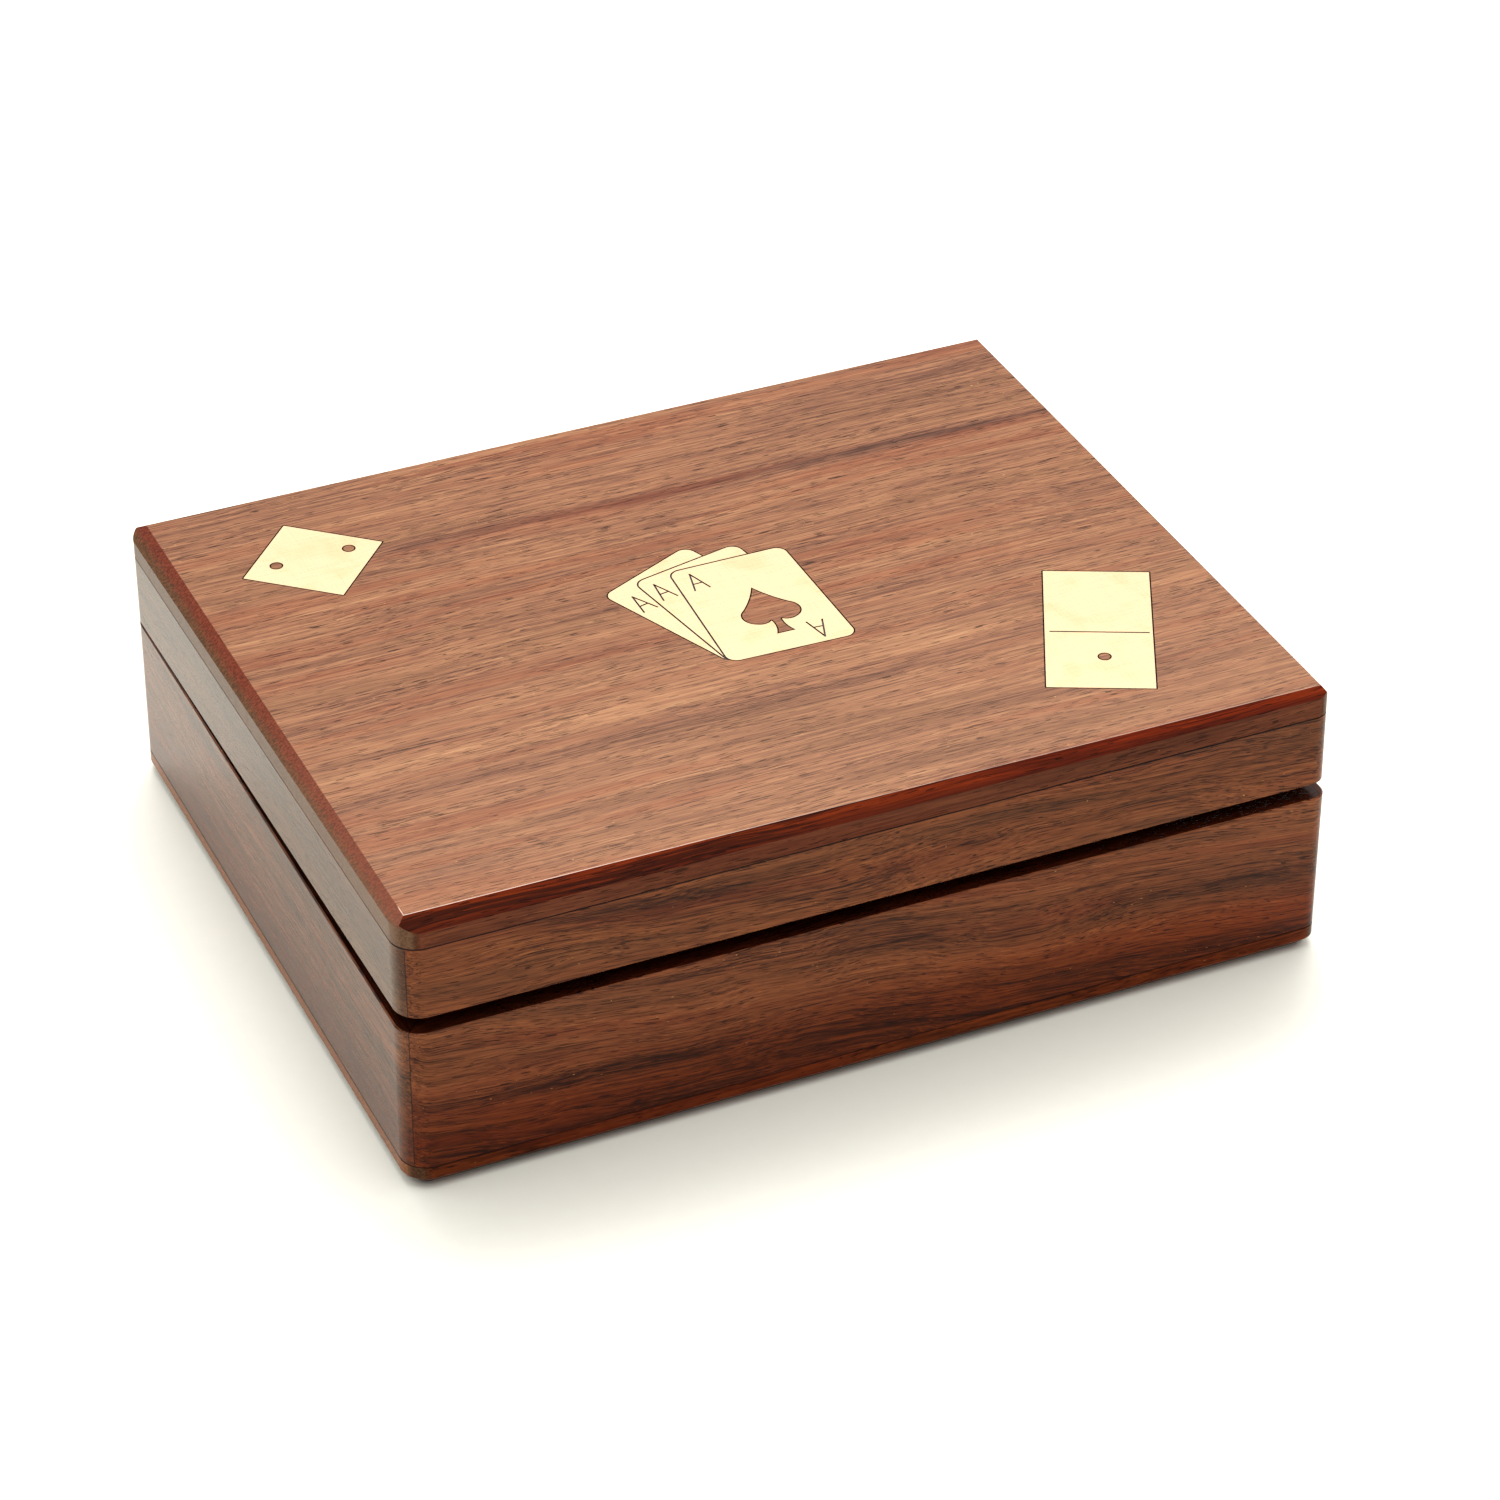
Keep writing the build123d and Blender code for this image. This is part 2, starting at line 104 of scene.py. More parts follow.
class Graph:
    """One material and the nodes that build it."""

    def __init__(self, name):
        self.material = bpy.data.materials.new(name)
        self.material.use_nodes = True
        self.tree = self.material.node_tree
        self.shader = self.tree.nodes["Principled BSDF"]
        self.coordinates = self.node("ShaderNodeTexCoord")

    def node(self, kind, **settings):
        made = self.tree.nodes.new(kind)
        for key, value in settings.items():
            setattr(made, key, value)
        return made

    def put(self, socket, value):
        if isinstance(value, bpy.types.NodeSocket):
            self.tree.links.new(value, socket)
        else:
            socket.default_value = value

    def finish(self, **inputs):
        for key, value in inputs.items():
            self.put(self.shader.inputs[key.replace("_", " ")], value)
        return self.material

    def math(self, operation, a, b=0.0, c=0.0):
        made = self.node("ShaderNodeMath", operation=operation)
        for socket, value in zip(made.inputs, (a, b, c)):
            self.put(socket, value)
        return made.outputs[0]

    def vector(self, operation, a, b=(0, 0, 0)):
        made = self.node("ShaderNodeVectorMath", operation=operation)
        self.put(made.inputs[0], a)
        self.put(made.inputs[1], b)
        return made.outputs["Vector"]

    def split(self, vector):
        made = self.node("ShaderNodeSeparateXYZ")
        self.put(made.inputs[0], vector)
        return list(made.outputs)

    def join(self, x, y, z):
        made = self.node("ShaderNodeCombineXYZ")
        for socket, value in zip(made.inputs, (x, y, z)):
            self.put(socket, value)
        return made.outputs[0]

    def noise(self, vector, size, detail=2.0, roughness=0.5):
        """Noise from 0 to 1 whose cells have the given size along each axis."""
        stretched = self.vector("DIVIDE", vector, size)
        made = self.node("ShaderNodeTexNoise")
        self.put(made.inputs["Vector"], stretched)
        made.inputs["Scale"].default_value = 1.0
        made.inputs["Detail"].default_value = detail
        made.inputs["Roughness"].default_value = roughness
        return made.outputs[0]

    def between(self, value, low, high, start=0.0, end=1.0):
        """A smooth step from start to end as value goes from low to high."""
        made = self.node("ShaderNodeMapRange", interpolation_type="SMOOTHSTEP")
        for socket, number in zip(made.inputs, (value, low, high, start, end)):
            self.put(socket, number)
        return made.outputs[0]

    def mix(self, factor, a, b, blend="MIX"):
        """Colour a, which turns into colour b as factor goes from 0 to 1."""
        made = self.node("ShaderNodeMix", data_type="RGBA", blend_type=blend)
        self.put(made.inputs["Factor"], factor)
        first, second = [socket for socket in made.inputs if socket.type == "RGBA"]
        self.put(first, a)
        self.put(second, b)
        return next(socket for socket in made.outputs if socket.type == "RGBA")

    def dye(self, colour, code):
        """A colour seen through a transparent stain, which is six hex digits or a socket."""
        return self.mix(1.0, colour, paint(code) if isinstance(code, str) else code, "MULTIPLY")

    def ramp(self, factor, stops):
        made = self.node("ShaderNodeValToRGB")
        elements = made.color_ramp.elements
        while len(elements) < len(stops):
            elements.new(0.5)
        for element, (place, code) in zip(elements, stops):
            element.position = place
            element.color = paint(code)
        self.put(made.inputs[0], factor)
        return made.outputs[0]

    def bump(self, height, depth):
        """A normal for a relief of the given depth in metres."""
        made = self.node("ShaderNodeBump")
        self.put(made.inputs["Height"], height)
        made.inputs["Distance"].default_value = depth
        made.inputs["Strength"].default_value = 1.0
        return made.outputs[0]

    def place(self, moves_with_lid):
        """Position in millimetres; a lid piece's is taken with the lid shut."""
        position = self.vector("MULTIPLY", self.coordinates.outputs["Object"], (MM, MM, MM))
        if not moves_with_lid:
            return position
        turned = self.node("ShaderNodeVectorRotate", rotation_type="X_AXIS")
        self.put(turned.inputs["Vector"], position)
        turned.inputs["Center"].default_value = PIN
        turned.inputs["Angle"].default_value = AJAR
        return turned.outputs[0]


# ---- wood ----
SIDE_WOOD = [(0.08, "301811"), (0.30, "593220"), (0.50, "77452b"), (0.66, "854e32"), (0.90, "9c6440")]
PANEL_WOOD = [(0.08, "39261f"), (0.30, "603f32"), (0.50, "805741"), (0.66, "94684b"), (0.90, "ae8360")]
REDDISH, GREYISH = "7c3b25", "4e3425"       # drifts of hue
PORE, SPECK = "1d0d08", "c79a62"            # open pores, and a few filled with pale dust
GLUE, FILLER = "140806", "1a0d08"
SHEEN_COLOUR = "b5a58c"                             # painted sheen: the pale grey-beige of the bright floor reflected in the left-facing sides
# painted shade towards the bottom, painted shade on the rims in the gap between lid and base, and a stain
# on the panel's upright faces
FOOT_SHADE_TINT, RIM_SHADE_TINT, EDGE_STAIN = "ecbc92", "8f7268", "b59288"
BEVEL_STAINS = ("af5614", "c45710")         # towards the left, towards the right
BEVEL_DROP, BEVEL_TAPER = 1.61, -0.0045     # the front bevel's height, and how it changes along x
GRAIN_RELIEF, LACQUER_RELIEF = 0.00005, 0.00004     # metres
BAND_FADE = 25.0                            # length over which a dark streak starts and ends


def grain(g, q, coarse):
    """Tone of the grain about zero, with the layers it is made of, which other details follow."""
    broad = g.noise(q, (110.0, 8.0, 11.0), 2.0, 0.5)
    streak = g.noise(q, (52.0, 1.5, 2.6), 3.0, 0.6)
    line = g.noise(q, (24.0, 0.42, 0.6), 3.0, 0.65)
    fibre = g.noise(q, (7.0, 0.17, 0.22), 2.0, 0.6)
    tone = 0.0
    weights = (broad, 0.65 * coarse), (streak, 0.60 * coarse), (line, 1.10), (fibre, 0.90)
    for layer, weight in weights:
        tone = g.math("MULTIPLY_ADD", g.math("SUBTRACT", layer, 0.5), weight, tone)
    thread = g.noise(q, (30.0, 0.30, 0.5), 1.0)
    tone = g.math("SUBTRACT", tone, g.between(thread, 0.36, 0.26, 0.0, 0.20))
    return tone, streak, line, fibre


def dark_streak(g, u, across, streak, band):
    """How much one band takes from the tone."""
    centre, slope, half, first, last, strength = band
    off = g.math("SUBTRACT", across, g.math("MULTIPLY_ADD", u, slope, centre))
    off = g.math("DIVIDE", off, half)
    bell = g.math("POWER", math.e, g.math("MULTIPLY", g.math("MULTIPLY", off, off), -1.0))
    reach = g.math("MULTIPLY", g.between(u, first, first + BAND_FADE, 0, 1),
                   g.between(u, last - BAND_FADE, last, 1, 0))
    ragged = g.math("MULTIPLY_ADD", streak, 1.4, 0.3)
    return g.math("MULTIPLY", g.math("MULTIPLY", bell, reach), g.math("MULTIPLY", ragged, strength))


def open_pores(g, q, colour):
    """Short dark dashes in loose clusters, and pale specks. Also returns where the pores are."""
    cell = g.noise(q, (3.2, 0.17, 0.22), 0.0)
    crowd = g.noise(q, (30.0, 3.4, 4.5), 1.0)
    limit = g.math("MULTIPLY_ADD", crowd, -0.30, 0.84)
    pore = g.between(g.math("SUBTRACT", cell, limit), 0.0, 0.035)
    colour = g.mix(g.math("MULTIPLY", pore, 0.78), colour, paint(PORE))
    speck = g.noise(q, (0.75, 0.3, 0.3), 0.0)
    speck = g.math("MULTIPLY", g.between(speck, 0.825, 0.86), g.between(crowd, 0.55, 0.62))
    return g.mix(g.math("MULTIPLY", speck, 0.75), colour, paint(SPECK)), pore


def end_grain(g, colour, rough, place, nx, z, ends, left_end_sheen):
    """End grain drinks the finish: crimson above, browner below, and paler and greyer at the left end, a
    painted sheen.
    """
    end = g.between(g.math("ABSOLUTE", nx), 0.15, 0.45, 0, ends)
    speckle = g.noise(place, (0.9, 0.34, 0.34), 2.0, 0.7)
    mottle = g.between(speckle, 0.38, 0.62)
    upper, lower, sheened = [g.mix(mottle, paint(dark), paint(light)) for dark, light in (
        ("521c12", "703120"), ("3e291b", "5d412b"), left_end_sheen)]
    # painted sheen: end grain that faces left turns paler and greyer
    lower = g.mix(g.between(nx, -0.75, -0.97), lower, sheened)
    fallen = g.math("MULTIPLY_ADD", g.math("SUBTRACT", speckle, 0.5), 2.0, z)
    colour = g.mix(end, colour, g.mix(g.between(fallen, TOP - 0.5, TOP - 1.5), upper, lower))
    return colour, g.math("ADD", rough, g.math("MULTIPLY", end, 0.12))


def lid_edges(g, colour, x, y, z, ny, nz, streak, line):
    """Stain gathers on the planed bevels, most at their lower edge. A painted highlight runs pale along
    the upper edge of the front bevel, and a painted sheen makes the whole lid a little paler towards the
    front."""
    # painted sheen: the lid grows a little paler towards the front
    colour = g.mix(g.between(y, 25.0, -60.0, 0, 0.07), colour, paint("d0a68a"))
    planed = g.math("MULTIPLY", g.between(nz, 0.965, 0.90), g.between(nz, 0.55, 0.75))
    facing = g.math("MULTIPLY", planed, g.between(g.math("ABSOLUTE", ny), 0.25, 0.5))
    stain = g.mix(g.between(x, -20.0, 45.0), paint(BEVEL_STAINS[0]), paint(BEVEL_STAINS[1]))
    drop = g.math("MULTIPLY_ADD", x, BEVEL_TAPER, BEVEL_DROP)
    fallen = g.math("DIVIDE", g.math("SUBTRACT", TOP, z), drop)
    stain = g.mix(g.between(fallen, 0.35, 0.95), stain, g.dye(stain, "bcadbc"))
    stained = g.dye(colour, stain)
    vein = g.math("MULTIPLY_ADD", streak, 0.5, g.math("MULTIPLY", line, 0.5))
    vein = g.math("MULTIPLY", g.between(vein, 0.53, 0.45), g.between(x, 75.0, -30.0, 0.25, 0.75))
    stained = g.mix(vein, stained, g.dye(stained, "6a5a50"))
    upright = g.between(g.math("ABSOLUTE", ny), 0.85, 0.96)
    colour = g.mix(upright, colour, g.dye(colour, EDGE_STAIN))
    colour = g.mix(g.math("MULTIPLY", facing, 0.97), colour, stained)
    # painted highlight: a pale line along the upper edge of the front bevel, stronger towards the left
    arris_highlight = g.math("MULTIPLY", g.between(nz, 0.999, 0.992), g.between(nz, 0.90, 0.94))
    arris_highlight = g.math("MULTIPLY", arris_highlight, g.between(y, -HALF_DEPTH + 6.0, -HALF_DEPTH + 5.0))
    arris_highlight = g.math("MULTIPLY", arris_highlight, g.between(x, 0.0, -60.0, 0.35, 0.9))
    return g.mix(arris_highlight, colour, paint("e4c4b4"))


def filled_pockets(g, colour, x, y, z):
    """Dark filler on the walls of the inlays' pockets, which are about a millimetre deep."""
    inner = g.math("MAXIMUM", g.math("SUBTRACT", g.math("ABSOLUTE", x), HALF_LENGTH),
                   g.math("SUBTRACT", g.math("ABSOLUTE", y), HALF_DEPTH))
    filler = g.math("MULTIPLY", g.between(inner, -5.0, -5.5), g.between(z, TOP - 0.02, TOP - 0.08))
    filler = g.math("MULTIPLY", filler, g.between(z, TOP - 1.6, TOP - 1.3))
    return g.mix(filler, colour, paint(FILLER))


def mitre_line(g, place, x, y):
    """How strongly the glue line of a mitre shows."""
    joint = g.math("SUBTRACT", g.math("ABSOLUTE", x), g.math("ABSOLUTE", y))
    joint = g.math("ABSOLUTE", g.math("SUBTRACT", joint, MITRE))
    uneven = g.math("MULTIPLY_ADD", g.noise(place, (4.0, 4.0, 1.6), 2.0), 0.22, -0.02)
    return g.between(g.math("SUBTRACT", joint, uneven), 0.0, 0.10, 0.7, 0.0)


def seam_line(g, place, x, y, z, seam):
    """How strongly the glue line of a panel shows. The lid's closes up along the left side."""
    height, strength, closed = seam
    off = g.math("ABSOLUTE", g.math("SUBTRACT", z, height))
    uneven = g.math("MULTIPLY", g.noise(place, (9.0, 9.0, 3.0), 2.0), 0.10)
    glue = g.between(g.math("SUBTRACT", off, uneven), 0.05, 0.15, strength, 0.0)
    if not closed:
        return glue
    shown = g.math("MAXIMUM", g.between(x, 1.0 - HALF_LENGTH, 2.5 - HALF_LENGTH),
                   g.between(y, 10.0 - HALF_DEPTH, 5.0 - HALF_DEPTH))
    return g.math("MULTIPLY", glue, shown)


def wood(name, lid, along, seed, ramp=SIDE_WOOD, contrast=1.0, shade=0.0, tilt=0.0, bands=(), wander=1.0,
         coarse=1.0, ends=0.0, left_end_sheen=("604a3b", "705a49"), bevels=False, mitres=False, seam=None,
         rim=None, foot_shade=0.0, tint=None, painted_sheen=0.0, gloss=0.16, coat=1.0, gleam=1.18):
    """Lacquered wood whose grain runs along x or y. A band is a soft dark streak:
    (across, slope, half width, from, to, strength), in millimetres along and across the grain."""
    g = Graph(name)
    place = g.place(lid)
    x, y, z = g.split(place)
    nx, ny, nz = g.split(g.coordinates.outputs["Normal"])
    u, v, w = (x, z, y) if along == "x-upright" else (y, z, x) if along == "y-upright" else (x, y, z)
    v = g.math("MULTIPLY_ADD", u, tilt, v)
    start = Vector((37.0, 11.0, 5.0)) * seed
    q = g.vector("ADD", g.join(u, v, w), start)

    # the grain wanders a little
    slow = g.noise(q, (62.0, 26.0, 26.0), 1.0)
    quick = g.noise(q, (17.0, 6.0, 6.0), 1.0)
    drift = g.math("MULTIPLY", g.math("SUBTRACT", slow, 0.5), 9.0 * wander)
    drift = g.math("MULTIPLY_ADD", g.math("SUBTRACT", quick, 0.5), 1.6 * wander, drift)
    q = g.vector("ADD", q, g.join(0.0, drift, drift))

    tone, streak, line, fibre = grain(g, q, coarse)
    tone = g.math("MULTIPLY_ADD", tone, contrast, 0.5 - shade)
    # painted shade: the tone darkens towards the bottom
    if foot_shade:
        tone = g.math("SUBTRACT", tone, g.between(z, 20.0, 2.0, 0.0, foot_shade))
    across = g.math("ADD", v, drift)
    for band in bands:
        tone = g.math("SUBTRACT", tone, dark_streak(g, u, across, streak, band))
    colour = g.ramp(tone, ramp)
    hue = g.noise(q, (75.0, 5.0, 7.0), 1.0)
    colour = g.mix(g.between(hue, 0.50, 0.72, 0, 0.32), colour, paint(REDDISH))
    colour = g.mix(g.between(hue, 0.46, 0.28, 0, 0.28), colour, paint(GREYISH))
    colour, pore = open_pores(g, q, colour)

    # stain, and painted shade, sheen and highlight
    if tint:
        colour = g.dye(colour, tint)
    # painted shade: darker and redder towards the bottom
    if foot_shade:
        colour = g.mix(g.between(z, 22.0, 8.0), colour, g.dye(colour, FOOT_SHADE_TINT))
    # painted sheen: a little paler and greyer all over, most on the faces turned to the left
    if painted_sheen:
        sheen_mask = g.between(nx, -0.80, -0.98, 0.15, 1.0)
        colour = g.mix(g.math("MULTIPLY", sheen_mask, painted_sheen), colour, paint(SHEEN_COLOUR))
    rough = g.math("MULTIPLY_ADD", fibre, 0.16, 0.34)
    if ends:
        colour, rough = end_grain(g, colour, rough, place, nx, z, ends, left_end_sheen)
    if bevels:
        colour = lid_edges(g, colour, x, y, z, ny, nz, streak, line)
        colour = filled_pockets(g, colour, x, y, z)

    # glue lines
    dark_line = mitre_line(g, place, x, y) if mitres else 0.0
    if seam:
        dark_line = g.math("MAXIMUM", dark_line, seam_line(g, place, x, y, z, seam))
    colour = g.mix(dark_line, colour, paint(GLUE))
    if rim is not None:
        # painted shade on the rims, which lie in the dark gap between lid and base
        flat = g.between(g.math("ABSOLUTE", nz), 0.85, 0.97)
        near = g.between(g.math("ABSOLUTE", g.math("SUBTRACT", z, rim)), 0.40, 0.30)
        colour = g.mix(g.math("MULTIPLY", flat, near), colour, g.dye(colour, RIM_SHADE_TINT))

    relief = g.math("MULTIPLY_ADD", pore, -1.0, g.math("MULTIPLY", fibre, 0.12))
    relief = g.math("SUBTRACT", relief, g.math("MULTIPLY", dark_line, 0.8))
    ripple = g.noise(q, (14.0, 3.0, 3.0), 1.0)
    lacquer = g.math("MULTIPLY_ADD", pore, -0.35, g.math("MULTIPLY", ripple, 0.6))
    g.finish(Base_Color=colour, Roughness=rough, Normal=g.bump(relief, GRAIN_RELIEF),
             Coat_Normal=g.bump(lacquer, LACQUER_RELIEF))
    return g.finish(Specular_IOR_Level=0.0, Coat_Weight=coat, Coat_Roughness=gloss, Coat_IOR=gleam)


# ---- brass, steel and felt ----
METAL = 0.70          # of the brass; the rest is old lacquer
WAX = "1a0e08"        # in the scribed lines
SCRATCHES, TURNING, NAP = 0.000004, 0.00001, 0.00025     # depth in metres


def brass(name, lid, code, warm, rough, filled):
    """Brass with faint scratches and warm patches. Scribed lines are filled with dark wax."""
    g = Graph(name)
    place = g.place(lid)
    x, y, z = g.split(place)
    cloud = g.noise(place, (7.0, 7.0, 7.0), 3.0, 0.6)
    colour = g.mix(g.between(cloud, 0.48, 0.72, 0, 0.6), paint(code), paint(warm))
    spots = g.noise(place, (1.3, 1.3, 1.3), 2.0, 0.6)
    colour = g.mix(g.between(spots, 0.66, 0.78, 0, 0.35), colour, paint(warm))
    scratch = g.noise(place, (11.0, 0.07, 0.07), 2.0, 0.7)
    cross = g.noise(place, (0.09, 6.0, 0.09), 2.0, 0.7)
    worn = g.math("ADD", g.math("MULTIPLY", scratch, 0.6), g.math("MULTIPLY", cross, 0.4))
    roughness = g.math("MULTIPLY_ADD", g.math("SUBTRACT", worn, 0.5), 0.30, rough)
    metal = METAL
    if filled:
        low = g.between(z, TOP - 0.015, TOP - 0.05)
        colour = g.mix(low, colour, paint(WAX))
        metal = g.math("MULTIPLY", g.math("SUBTRACT", 1.0, low), metal)
        roughness = g.math("MULTIPLY_ADD", low, 0.35, roughness)
    return g.finish(Base_Color=colour, Roughness=roughness, Metallic=metal,
                    Normal=g.bump(worn, SCRATCHES))


def steel(name):
    """Turned steel with a brassy wash."""
    g = Graph(name)
    place = g.place(False)
    turned = g.noise(place, (0.12, 1.5, 1.5), 2.0, 0.6)
    tint = g.noise(place, (2.5, 2.5, 2.5), 2.0)
    colour = g.mix(g.between(tint, 0.35, 0.7), paint("c9b48a"), paint("a8977a"))
    return g.finish(Base_Color=colour, Metallic=1.0, Roughness=g.math("MULTIPLY_ADD", turned, 0.25, 0.22),
                    Normal=g.bump(turned, TURNING))


def felt_cloth(name):
    """Short-napped pressed felt."""
    g = Graph(name)
    place = g.place(False)
    swirl = g.noise(place, (2.6, 2.6, 2.6), 2.0, 0.6)
    bent = g.vector("ADD", place, g.vector("MULTIPLY", g.join(swirl, swirl, swirl), (2.0, -2.0, 1.0)))
    hairs = g.noise(bent, (0.7, 0.14, 0.3), 3.0, 0.7)
    hairs = g.math("ADD", hairs, g.noise(bent, (0.14, 0.7, 0.3), 3.0, 0.7))
    patch = g.noise(place, (16.0, 16.0, 16.0), 2.0)
    reds = [(0.30, "3a0a0c"), (0.50, "5e1215"), (0.72, "8a2a26")]
    colour = g.ramp(g.math("MULTIPLY", hairs, 0.5), reds)
    colour = g.mix(g.between(patch, 0.4, 0.7, 0, 0.35), colour, paint("470e11"))
    return g.finish(Base_Color=colour, Roughness=0.95, Normal=g.bump(hairs, NAP), Specular_IOR_Level=0.1,
                    Sheen_Weight=0.6, Sheen_Roughness=0.45, Sheen_Tint=paint("c06a60"))


# ---- every wooden node ----
# a seam is its height, its strength, and whether it closes up on the left
lid_seam = (LID_SEAM, 0.85, True)
base_seam = (BASE_SEAM, 0.60, False)
# the rims of rails and walls get painted shade
lid_rail = dict(mitres=True, seam=lid_seam, rim=LID_RIM)
base_wall = dict(mitres=True, seam=base_seam, rim=BASE_RIM)
panel_bands = [
    (37.5, -0.03, 1.5, -60, 130, 0.22), (57.0, 0.0, 2.6, 25, 130, 0.14), (-47.0, 0.0, 2.6, 12, 75, 0.13),
    (-32.0, 0.01, 1.3, -110, 40, 0.10), (-24.5, -0.01, 3.0, -120, 60, -0.10)]
lid_front_bands = [(39.0, -0.03, 1.6, -70, -5, 0.30), (40.5, 0.02, 2.0, 0, 110, 0.22)]
base_front_bands = [(9.5, 0.0, 2.6, -110, -15, 0.26), (24.0, 0.0, 2.2, -20, 120, 0.20)]
# some pieces get painted shade towards the bottom, and the left-facing ones get painted sheen on their
# sides and end grain
wood_of = {
    "lid_top_panel": dict(
        along="x", seed=1.0, ramp=PANEL_WOOD, contrast=0.80, shade=-0.03, wander=0.4, coarse=0.60,
        ends=0.9, bevels=True, seam=lid_seam, gleam=1.10, bands=panel_bands),
    "lid_front_rail": dict(
        along="x-upright", seed=2.3, contrast=1.1, shade=0.02, tilt=0.05, wander=1.1, tint="f4ead8",
        bands=lid_front_bands, **lid_rail),
    "lid_left_rail": dict(
        along="y-upright", seed=3.1, contrast=1.2, tint="b4b6ac", painted_sheen=0.13, gleam=1.225, **lid_rail),
    "lid_back_rail": dict(along="x-upright", seed=4.7, contrast=1.1, **lid_rail),
    "lid_right_rail": dict(along="y-upright", seed=5.2, contrast=1.0, **lid_rail),
    "base_front_wall": dict(
        along="x-upright", seed=6.4, contrast=1.0, shade=0.03, tilt=0.11, wander=1.1, foot_shade=0.14,
        tint="fff6e8", bands=base_front_bands, **base_wall),
    "base_left_wall": dict(
        along="y-upright", seed=7.9, contrast=1.2, foot_shade=0.04, tint="e0d6c0", painted_sheen=0.07, gleam=1.22,
        **base_wall),
    "base_back_wall": dict(along="x-upright", seed=8.3, contrast=1.1, **base_wall),
    "base_right_wall": dict(along="y-upright", seed=9.6, contrast=1.0, **base_wall),
    "base_bottom_panel": dict(
        along="x", seed=10.2, contrast=0.9, shade=0.02, foot_shade=0.10, ends=0.85,
        left_end_sheen=("855539", "9f6b49"), seam=base_seam, gleam=1.12),
    "long_divider": dict(along="x-upright", seed=11.4, contrast=0.9, gloss=0.3, coat=0.5),
    "cross_divider": dict(along="y-upright", seed=12.8, contrast=0.9, gloss=0.3, coat=0.5),
}


def dress(node, material):
    """Give a node this material and nothing else."""
    mesh = nodes[node].data
    mesh.materials.clear()
    mesh.materials.append(material)


for node, settings in wood_of.items():
    dress(node, wood("wood_" + node, node in lid_nodes, **settings))
inlay = brass("brass_inlay", True, "cfb38c", "c9a678", 0.30, filled=True)
for node in ("die_inlay", "card_fan_inlay", "domino_inlay"):
    dress(node, inlay)
leaf = brass("brass_hinge", False, "d9b563", "b98d44", 0.30, filled=False)
for node in [n for n in nodes if n.endswith("_leaf")]:
    dress(node, leaf)
plated = steel("plated_steel")
for node in [n for n in nodes if n.endswith("_pin") or n.endswith("_screws")]:
    dress(node, plated)


# ---- felt ----
FELT_CELL = 1.3       # millimetres between the points of its mesh
FELT_WAVE = 0.12      # how uneven its face is
FELT_FOOT = 0.02      # how far its underside lies off the panel
FELT_FILL = 0.90      # share of its space's thickness that it fills
FELT_DIP = 0.45       # how much less at its cut edge
FELT_SOFT = 1.2       # width of the soft edge


def felt_pad(node, body, faces_down):
    """A pad of felt in the space of its CAD solid: soft cut edges and a slightly uneven face."""
    low, high = corners(node)
    size = high - low
    across, along = max(2, round(size.x / FELT_CELL)), max(2, round(size.y / FELT_CELL))
    points, faces = [], []

    def index(i, j, layer):
        return (layer * (across + 1) + i) * (along + 1) + j

    for layer in (0, 1):
        for i in range(across + 1):
            for j in range(along + 1):
                px, py = low.x + size.x * i / across, low.y + size.y * j / along
                rim = min(px - low.x, high.x - px, py - low.y, high.y - py)
                soft = max(0.0, 1.0 - rim / FELT_SOFT) ** 2
                wave = noise.noise(Vector((px, py, 7.0)) / 9.0)
                wave += 0.5 * noise.noise(Vector((px, py, 3.0)) / 3.5)
                nap = size.z * (FELT_FILL - FELT_DIP * soft) + FELT_WAVE * 0.5 * (wave - 1.0) * (1 - soft)
                nap = nap if layer else FELT_FOOT
                points.append(Vector((px, py, high.z - nap if faces_down else low.z + nap)))
    for i in range(across):
        for j in range(along):
            upper = [index(i, j, 1), index(i + 1, j, 1), index(i + 1, j + 1, 1), index(i, j + 1, 1)]
            lower = [index(i, j + 1, 0), index(i + 1, j + 1, 0), index(i + 1, j, 0), index(i, j, 0)]
            faces += [upper, lower]
    for i in range(across):
        front, rear = (i, i + 1, 0), (i + 1, i, along)
        for a, b, j in (front, rear):
            faces.append([index(a, j, 0), index(b, j, 0), index(b, j, 1), index(a, j, 1)])
    for j in range(along):
        left, right = (j + 1, j, 0), (j, j + 1, across)
        for a, b, i in (left, right):
            faces.append([index(i, a, 0), index(i, b, 0), index(i, b, 1), index(i, a, 1)])
    if faces_down:
        faces = [face[::-1] for face in faces]
        back = Matrix.Rotation(-AJAR, 3, "X")
        points = [PIN + back @ (p - PIN) for p in points]
    mesh = bpy.data.meshes.new(node + "_cloth")
    mesh.from_pydata([p / MM for p in points], [], faces)
    mesh.shade_smooth()
    mesh.materials.append(felt)
    pad = bpy.data.objects.new(node + "_cloth", mesh)
    bpy.context.scene.collection.objects.link(pad)
    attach(pad, body)
    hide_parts(node)


felt = felt_cloth("felt_lining")
for node in ("tray_felt", "card_well_felt", "chip_well_felt"):
    felt_pad(node, "base", False)
felt_pad("lid_felt", "lid", True)

# ---- floor ----
bpy.ops.mesh.primitive_plane_add(size=8.0, location=(0, 0, 0))
floor = bpy.context.object
floor.name = "floor"
paper = Graph("studio_paper")
fleck = paper.noise(paper.place(False), (3.0, 3.0, 3.0), 2.0)
paper.finish(Base_Color=paper.mix(fleck, paint("f1f1e6"), paint("f4f4ea")), Roughness=0.8,
             Specular_IOR_Level=0.1)
floor.data.materials.append(paper.material)

# ---- camera ----
AZIMUTH, ELEVATION, ROLL = math.radians(-24.13), math.radians(34.51), math.radians(0.18)
DISTANCE = 0.8588
AIM = Vector((0.00315, -0.00747, 0.025))
LENS = 120.36

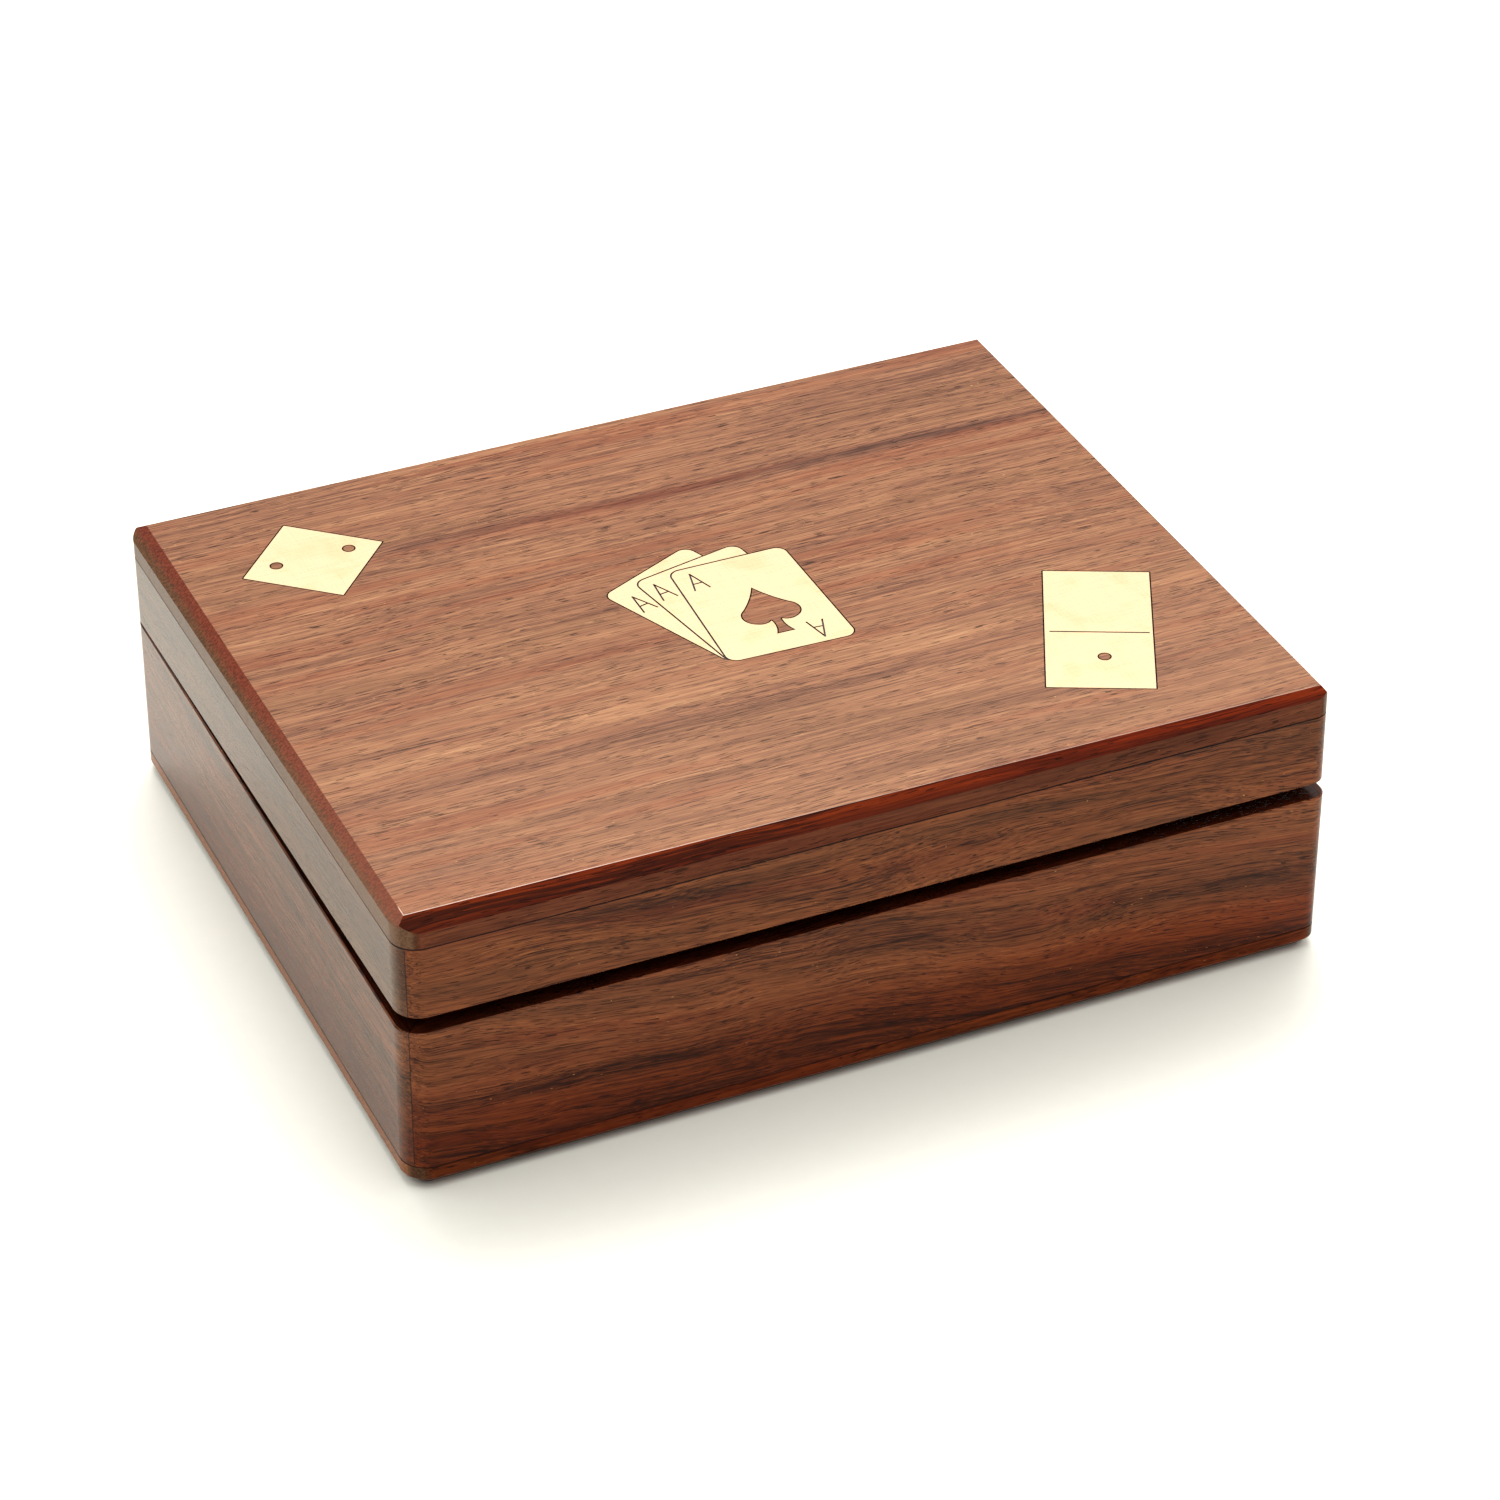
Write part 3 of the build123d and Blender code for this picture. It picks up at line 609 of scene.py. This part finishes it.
back = Vector((math.sin(AZIMUTH) * math.cos(ELEVATION), -math.cos(AZIMUTH) * math.cos(ELEVATION),
               math.sin(ELEVATION)))
side = Vector((0, 0, 1)).cross(back).normalized()
up = back.cross(side)
tilted_side = side * math.cos(ROLL) + up * math.sin(ROLL)
tilted_up = up * math.cos(ROLL) - side * math.sin(ROLL)
camera = bpy.data.objects.new("camera", bpy.data.cameras.new("camera"))
bpy.context.scene.collection.objects.link(camera)
camera.matrix_world = Matrix.Translation(AIM + back * DISTANCE) @ Matrix(
    (tilted_side, tilted_up, back)).transposed().to_4x4()
camera.data.sensor_width = 36.0
camera.data.lens = LENS
camera.data.clip_start, camera.data.clip_end = 0.05, 50.0
camera.data.dof.use_dof = False
bpy.context.scene.camera = camera


# ---- light: one large softbox behind and above, and a sky that is brightest behind and overhead ----
KEY_TOWARDS = Vector((0.17, 0.450, 0.877)).normalized()
KEY_DISTANCE = 1.3
KEY_SIZE = (0.85, 0.70)
KEY_POWER = 12.4
SKY_COLOUR = (1.0, 0.99, 0.975, 1.0)
AROUND, BEHIND, HORIZON, OVERHEAD = 0.28, 1.10, 0.36, 1.92      # strengths

softbox = bpy.data.lights.new("key", "AREA")
softbox.shape = "RECTANGLE"
softbox.size, softbox.size_y = KEY_SIZE
softbox.energy = KEY_POWER
lamp = bpy.data.objects.new("key", softbox)
bpy.context.scene.collection.objects.link(lamp)
lamp.location = KEY_TOWARDS * KEY_DISTANCE
lamp.rotation_mode = "QUATERNION"
lamp.rotation_quaternion = KEY_TOWARDS.to_track_quat("Z", "Y")

world = bpy.data.worlds.new("studio")
world.use_nodes = True
bpy.context.scene.world = world
sky = world.node_tree


def sky_node(kind, **settings):
    made = sky.nodes.new(kind)
    for key, value in settings.items():
        setattr(made, key, value)
    return made


def sky_step(direction, low, high, start, end):
    """A smooth step of how far the sky's direction leans towards the given one."""
    dot = sky_node("ShaderNodeVectorMath", operation="DOT_PRODUCT")
    sky.links.new(sky_coordinates.outputs["Generated"], dot.inputs[0])
    dot.inputs[1].default_value = direction
    step = sky_node("ShaderNodeMapRange", interpolation_type="SMOOTHSTEP")
    sky.links.new(dot.outputs["Value"], step.inputs[0])
    for socket, number in zip(step.inputs[1:5], (low, high, start, end)):
        socket.default_value = number
    return step.outputs[0]


def sky_math(operation, a, b):
    made = sky_node("ShaderNodeMath", operation=operation)
    for socket, value in zip(made.inputs, (a, b)):
        if isinstance(value, bpy.types.NodeSocket):
            sky.links.new(value, socket)
        else:
            socket.default_value = value
    return made.outputs[0]


sky_coordinates = sky_node("ShaderNodeTexCoord")
behind = sky_step((0.5, 0.866, 0.0), 0.05, 0.75, 0.0, 1.0)
overhead = sky_step((0, 0.139, 0.990), 0.50, 0.75, 0.0, 1.0)
horizon = sky_step((0, 0, 1), 0.02, 0.22, 1.0, 0.0)
around = sky_math("ADD", sky_math("MULTIPLY", behind, BEHIND), AROUND)
around = sky_math("ADD", around, sky_math("MULTIPLY", horizon, HORIZON))
strength = sky_math("MULTIPLY", around, sky_math("SUBTRACT", 1.0, overhead))
strength = sky_math("ADD", strength, sky_math("MULTIPLY", overhead, OVERHEAD))
background = sky.nodes["Background"]
sky.links.new(strength, background.inputs["Strength"])
background.inputs["Color"].default_value = SKY_COLOUR

bpy.context.scene.view_settings.view_transform = "Standard"
bpy.context.scene.view_settings.look = "None"
